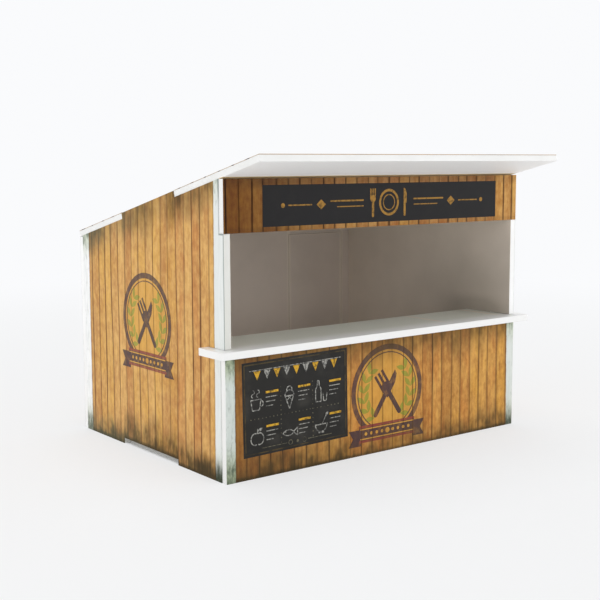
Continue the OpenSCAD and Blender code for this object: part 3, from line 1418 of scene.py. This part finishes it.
@dataclass
class Films:
    """The printed films on the outer faces."""

    wall_wood: Wood = Wood(srgb(228, 182, 108), srgb(184, 128, 66), srgb(88, 50, 24))
    front_wood: Wood = Wood(srgb(222, 168, 84), srgb(162, 106, 44), srgb(66, 40, 18))
    fascia_wood: Wood = Wood(srgb(211, 164, 95), srgb(162, 106, 44), srgb(66, 40, 18))
    # Darker towards the left ends: partly painted shade, partly the print's own darker tone.
    apron_shade: Colour = srgb(190, 180, 172)
    fascia_shade: Colour = srgb(151, 129, 66)
    # Painted shadow of the roof along the fascia's top.
    fascia_eave_shade: Colour = srgb(186, 181, 188)
    fascia_specular: float = 0.12
    strip_pale: Colour = srgb(231, 234, 231)
    strip_white: Colour = srgb(250, 250, 249)
    strip_fair: Colour = srgb(221, 226, 220)
    strip_dull: Colour = srgb(212, 219, 213)
    side_strip_mm: float = 3.7
    rear_strip_mm: float = 4.4
    apron_strip_mm: float = 3.5
    wall_lean: float = 0.009
    apron_lean: float = 0.012
    wall_pitch_mm: float = 5.2
    wall_shift_mm: float = 1.1
    notch_reach_mm: float = 19.6
    apron_pitch_mm: float = 5.03
    apron_start_mm: float = 2.8
    fascia_pitch_mm: float = 4.99
    fascia_start_mm: float = 0.82
    roof_pitch_mm: float = 8.3
    roof_start_mm: float = 2.2
    apron_gap_mm: float = 0.28
    fascia_gap_mm: float = 0.36
    roof_gap_mm: float = 1.8
    cut_mm: float = 0.06
    wall_foot: Steps = ((28.0, 5.0, 0.85),)
    wall_head: Steps = (
        (26.5, 29.0, 0.25), (31.5, 34.0, -0.25), (37.0, 39.0, -0.25), (44.5, 46.5, 0.22),
        (65.5, 67.0, 0.3), (68.0, 70.0, -0.57), (81.0, 85.0, 0.45),
    )
    wall_grey_mm: Span = (40.0, 90.0)
    apron_foot: Steps = ((52.0, 44.0, 0.25), (96.0, 130.0, 0.25))
    made: dict[Face, PlankFinish] = field(default_factory=dict)

    def _wall(self, face: Face, seed: float) -> PlankFinish:
        """Finish of a side wall.

        Args:
            face: Which wall.
            seed: Picks the pattern of the print.

        Returns:
            The wall's finish.
        """
        slope = math.tan(ROOF_PITCH)
        front, rear = (corner.y * TO_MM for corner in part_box("left_wall"))
        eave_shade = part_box("rear_wall")[1]
        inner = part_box("front_apron")[1].y * TO_MM
        middle = (rear - front) / 2 + self.wall_shift_mm
        notch_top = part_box("floor_plate")[1].z * TO_MM
        front_inset = Ruler((0, 1, self.wall_lean), -inner)
        rear_inset = Ruler((0, -1, -self.wall_lean), rear)
        return PlankFinish(
            name=face.value,
            across=Ruler((0, 1, self.wall_lean), self.wall_shift_mm - front),
            along=LEVEL,
            rise=LEVEL,
            drop=Ruler((0, -slope, -1), (eave_shade.z + slope * eave_shade.y) * TO_MM),
            pitch_mm=self.wall_pitch_mm,
            wood=self.wall_wood,
            seed=seed,
            foot=1.22,
            head=0.95,
            foot_more=self.wall_foot,
            head_more=self.wall_head,
            grey_mm=self.wall_grey_mm,
            notch_mm=(middle - self.notch_reach_mm, middle + self.notch_reach_mm, notch_top),
            seam_shade=Ruler((0, 1, 0), -front) if face is Face.LEFT else None,
            strips=(
                Strip(front_inset, self.side_strip_mm, self.strip_pale, mould=0.3, foot=1.25),
                Strip(rear_inset, self.rear_strip_mm, self.strip_white, mould=0.65, foot=0.7),
            ),
        )

    def _apron(self) -> PlankFinish:
        """Finish of the apron, its boards and its right strip slightly crooked.

        Returns:
            The apron's finish.
        """
        low, high = (corner * TO_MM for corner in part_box(Face.FRONT.value))
        left_inset, right_inset = Ruler((1, 0, 0), -low.x), Ruler((-1, 0, -self.apron_lean), high.x)
        # Its grime along the top edge, under the counter, is partly painted shade and partly blotchy grime.
        return PlankFinish(
            name=Face.FRONT.value,
            across=Ruler((1, 0, self.apron_lean / 3), -low.x - self.apron_start_mm),
            along=LEVEL,
            rise=Ruler((0, 0, 1), -low.z),
            drop=Ruler((0, 0, -1), high.z),
            pitch_mm=self.apron_pitch_mm,
            gap_mm=self.apron_gap_mm,
            wood=self.front_wood,
            seed=5.0,
            foot=0.9,
            foot_more=self.apron_foot,
            shade=self.apron_shade,
            strips=(
                Strip(left_inset, self.apron_strip_mm, self.strip_dull, mould=0.95, foot=0.35),
                Strip(right_inset, self.apron_strip_mm, self.strip_fair, mould=0.5, foot=0.9),
            ),
        )

    def _fascia(self) -> PlankFinish:
        """Finish of the fascia, which has no grime and no strips.

        Returns:
            The fascia's finish.
        """
        low, high = (corner * TO_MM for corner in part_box(Face.FASCIA.value))
        return PlankFinish(
            name=Face.FASCIA.value,
            across=Ruler((1, 0, 0), -low.x - self.fascia_start_mm),
            along=LEVEL,
            rise=Ruler((0, 0, 1), -low.z),
            drop=Ruler((0, 0, -1), high.z),
            pitch_mm=self.fascia_pitch_mm,
            gap_mm=self.fascia_gap_mm,
            wood=self.fascia_wood,
            seed=8.0,
            foot=0.0,
            head=0.0,
            shade=self.fascia_shade,
            eave_shade=self.fascia_eave_shade,
            specular=self.fascia_specular,
        )

    def _rear(self) -> PlankFinish:
        """Finish of the rear wall and its door, in one print.

        Returns:
            The rear wall's finish.
        """
        low, high = (corner * TO_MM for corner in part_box(Face.REAR.value))
        insets = (Ruler((1, 0, 0), -low.x), Ruler((-1, 0, 0), high.x))
        return PlankFinish(
            name=Face.REAR.value,
            across=Ruler((-1, 0, 0), high.x),
            along=LEVEL,
            rise=LEVEL,
            drop=Ruler((0, 0, -1), high.z),
            pitch_mm=self.wall_pitch_mm,
            wood=self.wall_wood,
            seed=31.0,
            cut_mm=self.cut_mm,
            cut_tint=self.strip_white,
            side_cut_tint=self.strip_white,
            strips=tuple(Strip(inset, self.apron_strip_mm, self.strip_pale) for inset in insets),
        )

    def _roof(self) -> PlankFinish:
        """Finish of the roof, its boards across the slope.

        Returns:
            The roof's finish.
        """
        low, high = (corner * TO_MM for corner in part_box(Face.ROOF.value))
        lean, rise = math.cos(ROOF_PITCH), math.sin(ROOF_PITCH)
        start = -(low.y * lean - high.z * rise)
        return PlankFinish(
            name=Face.ROOF.value,
            across=Ruler((0, lean, -rise), start + self.roof_start_mm),
            along=SIDEWAYS,
            rise=Ruler((0, lean, -rise), start),
            drop=Ruler((0, -lean, rise), high.y * lean - low.z * rise),
            pitch_mm=self.roof_pitch_mm,
            gap_mm=self.roof_gap_mm,
            wood=self.front_wood,
            seed=47.0,
            foot=0.5,
            head=0.8,
            cut_mm=self.cut_mm,
        )

    def dress(self, groups: Groups) -> None:
        """Print every film.

        Args:
            groups: The shared groups.
        """
        self.made = {
            Face.LEFT: self._wall(Face.LEFT, 2.0),
            Face.RIGHT: self._wall(Face.RIGHT, 13.0),
            Face.FRONT: self._apron(),
            Face.FASCIA: self._fascia(),
            Face.REAR: self._rear(),
            Face.ROOF: self._roof(),
        }
        for face, finish in self.made.items():
            material = finish.material(groups)
            names = (face.value, "rear_door_print") if face is Face.REAR else (face.value,)
            for name in names:
                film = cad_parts[name]
                film.data.materials.clear()
                film.data.materials.append(material)
                LOG.info("film %s printed", name)


@dataclass
class SignPanel:
    """Dark panel on the fascia with an ochre ornament: a plate between a fork and a knife."""

    width_mm: float = 111.0
    height_mm: float = 13.75
    middle_mm: float = 1.75
    height_above_ground_mm: float = 90.88
    ink_mm: float = 0.03
    dark: BoardFinish = BoardFinish(
        "sign_panel", srgb(28, 27, 28), srgb(38, 37, 36), scale=160.0, span=(0.45, 0.75), most=0.6
    )
    ochre: BoardFinish = BoardFinish(
        "sign_ochre", srgb(158, 117, 50), srgb(78, 62, 38), scale=900.0, span=(0.45, 0.68), most=0.75
    )

    def build(self, groups: Groups) -> None:
        """Make the panel and its ornament.

        Args:
            groups: The shared groups.
        """
        place = PANELS[Face.FASCIA].matrix(self.middle_mm, self.height_above_ground_mm)
        ground = FlatArt()
        ground.bar((-self.width_mm / 2, 0), (self.width_mm / 2, 0), self.height_mm)
        seat(ground.press("sign_panel", place, self.ink_mm, self.dark.material(groups)), Slot.FASCIA)
        art = FlatArt()
        self._plate(art)
        for side in (-1, 1):
            self._rules(art, side)
        seat(art.press("sign_ornament", place, 2 * self.ink_mm, self.ochre.material(groups)), Slot.FASCIA)

    def _plate(self, art: FlatArt) -> None:
        """Plate seen from above, with cutlery at both sides.

        Args:
            art: Drawing that it goes into.
        """
        art.ring((0, 0), 4.3, 0.9)
        art.ring((0, 0), 2.7, 0.35)
        draw_fork(art, (-7.6, -5.0), 10.0, 0)
        draw_knife(art, (7.6, -5.0), 10.0, 0)

    def _rules(self, art: FlatArt, side: int) -> None:
        """Double rule with a lozenge and a dot, on one side.

        Args:
            art: Drawing that it goes into.
            side: -1 on the left, 1 on the right.
        """
        art.bar((side * 12, 1.0), (side * 27, 1.0), 0.55)
        art.bar((side * 12, -1.0), (side * 24, -1.0), 0.35)
        art.shape([(side * 29, 0), (side * 31, 1.7), (side * 33, 0), (side * 31, -1.7)])
        art.bar((side * 35, 0), (side * 45, 0), 0.45)
        art.disc((side * 47.2, 0), 0.8, segments=20)


@dataclass(frozen=True)
class Tool:
    """Own axes of a drawn tool: sideways and along it, both as shares of its length."""

    foot: Point
    length: float
    turn_deg: float

    def at(self, side: float, along: float) -> Point:
        """Point of the drawing for a point of the tool.

        Args:
            side: Share of the length sideways.
            along: Share of the length along the tool.

        Returns:
            The point.
        """
        turn = math.radians(self.turn_deg)
        x, y = side * self.length, along * self.length
        return (
            self.foot[0] + x * math.cos(turn) - y * math.sin(turn),
            self.foot[1] + x * math.sin(turn) + y * math.cos(turn),
        )

    def handle(self, art: FlatArt, end: float) -> None:
        """Draw the handle, with a round foot, as far as a share of the length."""
        art.bar(self.at(0, 0.04), self.at(0, end), 0.10 * self.length)
        art.disc(self.at(0, 0.04), 0.05 * self.length, segments=16)


def draw_fork(art: FlatArt, foot: Point, length: float, turn_deg: float) -> None:
    """Draw a fork that stands on its foot.

    Args:
        art: Drawing that it goes into.
        foot: Lower end of its handle.
        length: Whole length.
        turn_deg: Lean to the left in degrees.
    """
    tool = Tool(foot, length, turn_deg)
    tool.handle(art, 0.62)
    art.disc(tool.at(0, 0.64), 0.125 * length, turn_deg=turn_deg, segments=20)
    for tine in (-1, 0, 1):
        art.bar(tool.at(tine * 0.10, 0.62), tool.at(tine * 0.10, 1.0), 0.055 * length)


def draw_knife(art: FlatArt, foot: Point, length: float, turn_deg: float) -> None:
    """Draw a table knife that stands on its foot.

    Args:
        art: Drawing that it goes into.
        foot: Lower end of its handle.
        length: Whole length.
        turn_deg: Lean to the left in degrees.
    """
    tool = Tool(foot, length, turn_deg)
    tool.handle(art, 0.46)
    blade = ((-0.05, 0.46), (0.09, 0.46), (0.09, 0.80), (0.03, 0.96), (-0.05, 1.0))
    art.shape([tool.at(*point) for point in blade])


CHALK_MM = 0.34


def draw_cup(art: FlatArt) -> None:
    """Draw a cup with steam.

    Args:
        art: Drawing that it goes into.
    """
    art.path([(-2.4, 0.6), (-1.7, -3.0), (1.1, -3.0), (1.8, 0.6), (-2.4, 0.6)], CHALK_MM)
    art.arc((1.7, -0.9), 1.0, -80, 160, CHALK_MM)
    for side in (-1.4, 0.6):
        art.arc((side, 2.0), 0.6, 90, 180, 0.26)
        art.arc((side, 3.2), 0.6, -90, 180, 0.26)


def draw_cone(art: FlatArt) -> None:
    """Draw an ice cream cone.

    Args:
        art: Drawing that it goes into.
    """
    art.path([(-1.8, 0), (0, -4.4), (1.8, 0), (-1.8, 0)], CHALK_MM)
    for side in (-1, 1):
        art.bar((side * 1.1, -1.5), (side * -0.7, -0.1), 0.22)
    art.arc((0, 0.1), 1.9, 0, 180, CHALK_MM)
    art.arc((0, 2.2), 1.1, -20, 220, CHALK_MM)


def draw_bottle(art: FlatArt) -> None:
    """Draw a bottle and a glass.

    Args:
        art: Drawing that it goes into.
    """
    art.path([(-2.3, 0.4), (-2.3, -4.0), (0.1, -4.0), (0.1, 0.4)], CHALK_MM)
    art.path([(-2.3, 0.4), (-1.5, 1.8), (-1.5, 3.4), (-0.7, 3.4), (-0.7, 1.8), (0.1, 0.4)], CHALK_MM)
    art.path([(0.9, -1.2), (1.2, -4.0), (2.4, -4.0), (2.7, -1.2)], CHALK_MM)


def draw_apple(art: FlatArt) -> None:
    """Draw an apple with a leaf.

    Args:
        art: Drawing that it goes into.
    """
    for side in (-1, 1):
        art.arc((side * 0.9, -1.2), 1.9, 90 + side * 25, side * -225, CHALK_MM, (0.9, 1.05))
    art.bar((0, 0.6), (0.3, 2.2), CHALK_MM)
    art.leaf((0.3, 1.4), 2.2, 1.0, 25)


def draw_fish(art: FlatArt) -> None:
    """Draw a fish.

    Args:
        art: Drawing that it goes into.
    """
    art.arc((-0.6, -2.9), 3.0, 38, 104, CHALK_MM, (1, 0.9))
    art.arc((-0.6, 0.5), 3.0, -142, 104, CHALK_MM, (1, 0.9))
    art.path([(1.6, -1.1), (3.2, 0.2), (3.2, -2.6), (1.6, -1.3)], CHALK_MM)
    art.disc((-1.9, -0.8), 0.3, segments=12)


def draw_bowl(art: FlatArt) -> None:
    """Draw a bowl on its foot with a spoon.

    Args:
        art: Drawing that it goes into.
    """
    art.arc((0, -0.6), 2.6, 180, 180, CHALK_MM)
    art.bar((-2.8, -0.6), (2.8, -0.6), CHALK_MM)
    art.bar((-1.2, -3.5), (1.2, -3.5), CHALK_MM)
    art.bar((0.4, -0.4), (2.4, 2.6), CHALK_MM)
    art.disc((2.6, 2.9), 0.6, (0.8, 1.2), -34, 16)


@dataclass
class ChalkBoard:
    """Black board on the apron with chalk pictures in a grid, and rows of plain dashes."""

    left_mm: float = -62.5
    right_mm: float = -17.6
    foot_mm: float = 7.9
    head_mm: float = 40.0
    turn_deg: float = 0.9
    ink_mm: float = 0.03
    columns: int = 3
    cell_height_mm: float = 11.6
    first_row_mm: float = 2.6
    margin_mm: float = 2.0
    rim_inset_mm: float = 0.9
    rim_mm: float = 0.4
    flags: int = 9
    board: BoardFinish = BoardFinish(
        "chalk_board", srgb(40, 39, 37), srgb(66, 64, 60), scale=120.0, span=(0.46, 0.78), most=0.75
    )
    rim: BoardFinish = BoardFinish(
        "chalk_board_rim", srgb(80, 68, 44), srgb(46, 42, 36), scale=300.0, span=(0.40, 0.65), most=0.9
    )
    white: BoardFinish = BoardFinish(
        "chalk_white", srgb(170, 169, 162), srgb(60, 60, 60), scale=1300.0, span=(0.40, 0.62), most=0.85
    )
    yellow: BoardFinish = BoardFinish(
        "chalk_yellow", srgb(212, 164, 50), srgb(86, 72, 42), scale=1100.0, span=(0.44, 0.66), most=0.8
    )
    faint: BoardFinish = BoardFinish(
        "chalk_faint", srgb(108, 104, 86), srgb(52, 51, 46), scale=900.0, span=(0.38, 0.62), most=0.9
    )

    @property
    def width(self) -> float:
        """Width of the board."""
        return self.right_mm - self.left_mm

    @property
    def height(self) -> float:
        """Height of the board."""
        return self.head_mm - self.foot_mm

    @property
    def cell_width(self) -> float:
        """Width of one cell of the grid."""
        return (self.width - 2 * self.margin_mm) / self.columns

    def build(self, groups: Groups) -> None:
        """Make the board, its rim and its chalks.

        Args:
            groups: The shared groups.
        """
        middle, level = (self.left_mm + self.right_mm) / 2, (self.foot_mm + self.head_mm) / 2
        place = PANELS[Face.FRONT].matrix(middle, level) @ turned(self.turn_deg)
        ground, rim, faint, white, yellow = (FlatArt() for _ in range(5))
        ground.bar((-self.width / 2, 0), (self.width / 2, 0), self.height)
        half_w, half_h = self.width / 2 - self.rim_inset_mm, self.height / 2 - self.rim_inset_mm
        for side in (-1, 1):
            rim.bar((-half_w, side * half_h), (half_w, side * half_h), self.rim_mm)
            rim.bar((side * half_w, -half_h), (side * half_w, half_h), self.rim_mm)
        self._bunting(white, yellow)
        self._grid(white, yellow)
        self._flourish(faint)
        layers = (
            (ground, self.board), (rim, self.rim), (faint, self.faint), (white, self.white),
            (yellow, self.yellow),
        )
        for depth, (art, finish) in enumerate(layers, start=1):
            seat(art.press(finish.name, place, depth * self.ink_mm, finish.material(groups)), Slot.APRON)

    def _bunting(self, white: FlatArt, yellow: FlatArt) -> None:
        """String of pennants along the head of the board.

        Args:
            white: Drawing in white chalk.
            yellow: Drawing in yellow chalk.
        """
        step = (self.width - 8) / self.flags
        level = self.height / 2 - 3.0
        white.bar((-self.width / 2 + 3, level), (self.width / 2 - 3, level), 0.25)
        for number in range(self.flags):
            x = -self.width / 2 + 4 + (number + 0.5) * step
            art = yellow if number % 2 == 0 else white
            art.shape([(x - 1.4, level - 0.3), (x + 1.4, level - 0.3), (x, level - 3.3)])

    def _grid(self, white: FlatArt, yellow: FlatArt) -> None:
        """Picture and dashes in each cell.

        Args:
            white: Drawing in white chalk.
            yellow: Drawing in yellow chalk.
        """
        pictures = (draw_cup, draw_cone, draw_bottle, draw_apple, draw_fish, draw_bowl)
        for number, picture in enumerate(pictures):
            row, column = divmod(number, self.columns)
            x = -self.width / 2 + self.margin_mm + (column + 0.5) * self.cell_width
            y = self.first_row_mm - row * self.cell_height_mm
            white.origin = (x - 3.2, y)
            picture(white)
            white.origin = yellow.origin = (x, y)
            yellow.bar((0.6, 2.6), (5.8, 2.6), 0.75)
            for line in range(3):
                level = 0.9 - line * 1.5
                white.bar((0.6, level), (5.4 - 0.9 * line, level), 0.28)

    def _flourish(self, faint: FlatArt) -> None:
        """Dotted lines between the cells and a few short lines below them.

        Args:
            faint: Drawing in faint chalk.
        """
        for column in range(1, self.columns):
            x = -self.width / 2 + self.margin_mm + column * self.cell_width
            for number in range(13):
                faint.disc((x, 6.2 - 1.6 * number), 0.22, segments=8)
        for number in range(25):
            faint.disc((-self.width / 2 + 3.2 + 1.56 * number, -3.4), 0.22, segments=8)
        level = 2.4 - self.height / 2
        for side in (-1, 1):
            faint.bar((side * 4.5, level), (side * 15.0, level), 0.26)
            faint.ring((side * 3.0, level), 0.8, 0.26)
        faint.disc((0, level), 0.5, segments=12)


@dataclass
class Badge:
    """Round badge on a film: cutlery over a disc, in a wreath, with a blank ribbon."""

    name: str
    face: Face
    slot: Slot
    film: PlankFinish
    middle_mm: float
    height_mm: float
    radius_mm: float = 17.4
    lift_mm: float = 1.5
    ribbon_mm: float = -13.2
    ribbon_half_mm: float = 13.5
    ink_mm: float = 0.02
    ochre: Colour = srgb(214, 160, 66)
    plum: Colour = srgb(54, 42, 54)
    green: Colour = srgb(140, 150, 52)
    maroon: Colour = srgb(126, 46, 54)

    def build(self, groups: Groups) -> None:
        """Make the badge's layers, each a little higher than the last.

        Args:
            groups: The shared groups.
        """
        layers = (
            ("disc", self._disc, self.ochre, 0.62),
            ("wreath", self._wreath, self.green, 0.78),
            ("rings", self._rings, self.plum, 0.84),
            ("cutlery", self._cutlery, self.plum, 0.90),
            ("ribbon", self._ribbon, self.plum, 0.90),
            ("edging", self._edging, self.maroon, 0.84),
            ("stitch", self._stitch, self.ochre, 0.80),
        )
        place = PANELS[self.face].matrix(self.middle_mm, self.height_mm)
        for depth, (title, draw, ink, cover) in enumerate(layers, start=1):
            name = f"{self.name}_{title}"
            art = FlatArt()
            draw(art)
            finish = InkFinish(name, ink, self.film, cover)
            seat(art.press(name, place, depth * self.ink_mm, finish.material(groups)), self.slot)

    def _disc(self, art: FlatArt) -> None:
        """Ground of the badge."""
        art.disc((0, self.lift_mm), self.radius_mm - 2.2, segments=64)

    def _rings(self, art: FlatArt) -> None:
        """Thick outer ring and thin inner one."""
        art.ring((0, self.lift_mm), self.radius_mm - 1.2, 2.0)
        art.ring((0, self.lift_mm), self.radius_mm - 3.2, 0.4)

    def _wreath(self, art: FlatArt) -> None:
        """Two leafy branches that rise from the ribbon.

        Args:
            art: Drawing that it goes into.
        """
        radius = self.radius_mm - 6.0
        for side in (-1, 1):
            for number in range(6):
                angle = math.radians(-90 + side * (34 + 19 * number))
                foot = (radius * math.cos(angle), self.lift_mm + radius * math.sin(angle))
                along = math.degrees(angle) + side * 90
                for lean in (-38, 38):
                    art.leaf(foot, 4.6, 1.9, along + lean)

    def _cutlery(self, art: FlatArt) -> None:
        """Crossed fork and knife."""
        draw_fork(art, (6.2, -7.5), 19.0, 34)
        draw_knife(art, (-6.2, -7.5), 19.0, -34)

    def _across(self, art: FlatArt, level: float, half: float, width: float) -> None:
        """Stroke along the ribbon."""
        art.bar((-half, level), (half, level), width)

    def _ribbon(self, art: FlatArt) -> None:
        """Blank ribbon with forked tails.

        Args:
            art: Drawing that it goes into.
        """
        self._across(art, self.ribbon_mm, self.ribbon_half_mm, 6.0)
        tail = ((12.4, -11.4), (18.4, -11.4), (16.4, -14.4), (18.4, -17.4), (12.4, -17.4))
        for side in (-1, 1):
            art.shape([(side * x, y) for x, y in tail])

    def _edging(self, art: FlatArt) -> None:
        """Red lines along the ribbon's edges."""
        for level in (-10.5, -15.9):
            self._across(art, level, self.ribbon_half_mm, 0.9)

    def _stitch(self, art: FlatArt) -> None:
        """Two fine lines and a row of dots on the ribbon.

        Args:
            art: Drawing that it goes into.
        """
        for level in (-11.4, -15.0):
            self._across(art, level, self.ribbon_half_mm - 0.5, 0.4)
        for number in range(-4, 5):
            art.disc((number * 2.6, self.ribbon_mm), 0.62 if number else 1.0, segments=16)


@dataclass(frozen=True)
class Lamp:
    """Square soft lamp: where it hangs, how wide it is and its power in watts."""

    name: str
    place: Axis
    width: float
    power: float

    def build(self, aim: Axis) -> None:
        """Hang the lamp out of the camera's sight, so that it faces a point.

        Args:
            aim: Point that it faces.
        """
        light = bpy.data.lights.new(self.name, "AREA")
        light.shape = "SQUARE"
        light.size = self.width
        light.energy = self.power
        lamp = bpy.data.objects.new(self.name, light)
        lamp.location = self.place
        lamp.rotation_euler = (Vector(aim) - Vector(self.place)).to_track_quat("-Z", "Y").to_euler()
        lamp.visible_camera = False
        bpy.context.scene.collection.objects.link(lamp)


@dataclass
class Studio:
    """Pale floor, soft lamps and the camera at the photograph's angle."""

    paper: Colour = (0.956, 0.963, 0.978, 1.0)
    # Greyer glow of the paper near the kiosk: painted shade round it.
    near_paper_shade: Colour = (0.90, 0.905, 0.91, 1.0)
    matt_paper: Colour = (0.92, 0.922, 0.925, 1.0)
    floor_reach: float = 6.0
    glow_span: Span = (0.16, 0.6)
    near_glow: float = 0.70
    recess: float = 2.0 * MM
    daylight: float = 0.72
    lamp_aim: Axis = (0, 0, 0.05)
    lamps: tuple[Lamp, ...] = (
        Lamp("key", (-1.0, 0.20, 0.22), 0.6, 2.3),
        Lamp("fill_right", (0.55, -0.95, 0.16), 0.6, 2.8),
        Lamp("fill_left", (-0.55, -0.95, 0.20), 0.6, 0.9),
        Lamp("rim_right", (0.90, -0.12, 0.03), 0.5, 2.3),
        Lamp("top", (0.0, 0.10, 1.3), 0.8, 4.4),
    )
    camera_mm: Axis = (-261.0, -341.7, 104.2)
    yaw: float = math.radians(37.45)
    pitch: float = math.radians(7.07)
    roll: float = math.radians(-0.26)
    lens_mm: float = 65.33
    sensor_mm: float = 36.0
    near_clip: float = 0.01

    def build(self) -> None:
        """Set up everything that isn't the kiosk."""
        self._world()
        self._floor()
        for lamp in self.lamps:
            lamp.build(self.lamp_aim)
        self._camera()
        bpy.context.scene.view_settings.view_transform = "Standard"

    def _seen(self, sketch: Sketch) -> Socket:
        """1 on rays that show the background: from the camera, or off or through gloss.

        Args:
            sketch: Tree that the nodes go into.

        Returns:
            The share, from 0 to 1.
        """
        path = sketch.node("ShaderNodeLightPath").outputs
        glossy = sketch.add(path["Is Glossy Ray"], path["Is Transmission Ray"])
        return sketch.math("ADD", path["Is Camera Ray"], glossy, clamp=True)

    def _world(self) -> None:
        """Even light all round, behind a white background."""
        world = bpy.data.worlds.new("studio")
        bpy.context.scene.world = world
        world.use_nodes = True
        sketch = Sketch(world.node_tree)
        background = world.node_tree.nodes["Background"]
        background.inputs["Color"].default_value = self.paper
        strength = sketch.ramp(self._seen(sketch), 0.0, 1.0, self.daylight, 1.0)
        sketch.feed(background.inputs["Strength"], strength)

    def _floor(self) -> None:
        """Round floor that fades into the background and keeps the kiosk's shadow."""
        bm = bmesh.new()
        bmesh.ops.create_circle(bm, cap_ends=True, radius=self.floor_reach, segments=96)
        floor = new_object("floor", bm)
        material = bpy.data.materials.new("paper_floor")
        material.use_nodes = True
        tree = material.node_tree
        tree.nodes.remove(tree.nodes["Principled BSDF"])
        sketch = Sketch(tree)
        matt = sketch.node("ShaderNodeBsdfDiffuse")
        matt.inputs["Color"].default_value = self.matt_paper
        glow = sketch.node("ShaderNodeEmission")
        place = sketch.here()
        far = sketch.node("ShaderNodeVectorMath", operation="LENGTH")
        sketch.feed(far.inputs[0], place)
        away = far.outputs["Value"]
        # Near the kiosk the glowing paper turns greyer: painted shade round it.
        tint = sketch.mix(sketch.ramp(away, *self.glow_span), self.near_paper_shade, self.paper)
        sketch.feed(glow.inputs["Color"], tint)
        share = sketch.ramp(away, *self.glow_span, self.near_glow, 1.0)
        share = sketch.times(share, sketch.less(1.0, self._beneath(sketch, place)))
        blend = sketch.node("ShaderNodeMixShader")
        sketch.feed(blend.inputs[0], sketch.times(self._seen(sketch), share))
        sketch.feed(blend.inputs[1], matt.outputs[0])
        sketch.feed(blend.inputs[2], glow.outputs[0])
        sketch.feed(tree.nodes["Material Output"].inputs["Surface"], blend.outputs[0])
        floor.data.materials.append(material)

    def _beneath(self, sketch: Sketch, place: Socket) -> Socket:
        """1 on the floor under the kiosk's walls, where no paper glows.

        Args:
            sketch: Tree that the nodes go into.
            place: Object coordinates.

        Returns:
            The share, from 0 to 1.
        """
        outer = (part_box("right_wall_print")[1].x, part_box("rear_wall_print")[1].y)
        shares = (
            sketch.fade(sketch.size(part), (reach - self.recess) * TO_MM, reach * TO_MM)
            for part, reach in zip(sketch.axes_mm(place), outer)
        )
        return sketch.times(*shares)

    def _camera(self) -> None:
        """Camera where the photograph's was."""
        data = bpy.data.cameras.new("camera")
        data.sensor_fit = "HORIZONTAL"
        data.sensor_width = self.sensor_mm
        data.lens = self.lens_mm
        data.clip_start = self.near_clip
        camera = bpy.data.objects.new("camera", data)
        camera.location = Vector(self.camera_mm) * MM
        turn = Matrix.Rotation(-self.yaw, 4, "Z") @ Matrix.Rotation(math.pi / 2 - self.pitch, 4, "X")
        camera.rotation_euler = (turn @ Matrix.Rotation(self.roll, 4, "Z")).to_euler()
        bpy.context.scene.collection.objects.link(camera)
        bpy.context.scene.camera = camera


def main() -> None:
    """Build the kiosk's looks in order."""
    logging.basicConfig(level=logging.INFO, format="%(name)s: %(message)s")
    groups = Groups()
    Sheets().dress(groups)
    films = Films()
    films.dress(groups)
    SignPanel().build(groups)
    ChalkBoard().build(groups)
    for name, face, slot, middle_mm, height_mm in (
        ("apron_badge", Face.FRONT, Slot.APRON, 1.5, 21.0),
        ("left_badge", Face.LEFT, Slot.WALL, 0.5, 47.5),
        ("right_badge", Face.RIGHT, Slot.WALL, -0.5, 47.5),
    ):
        Badge(name, face, slot, films.made[face], middle_mm, height_mm).build(groups)
    Studio().build()


if __name__ == "__main__":
    main()
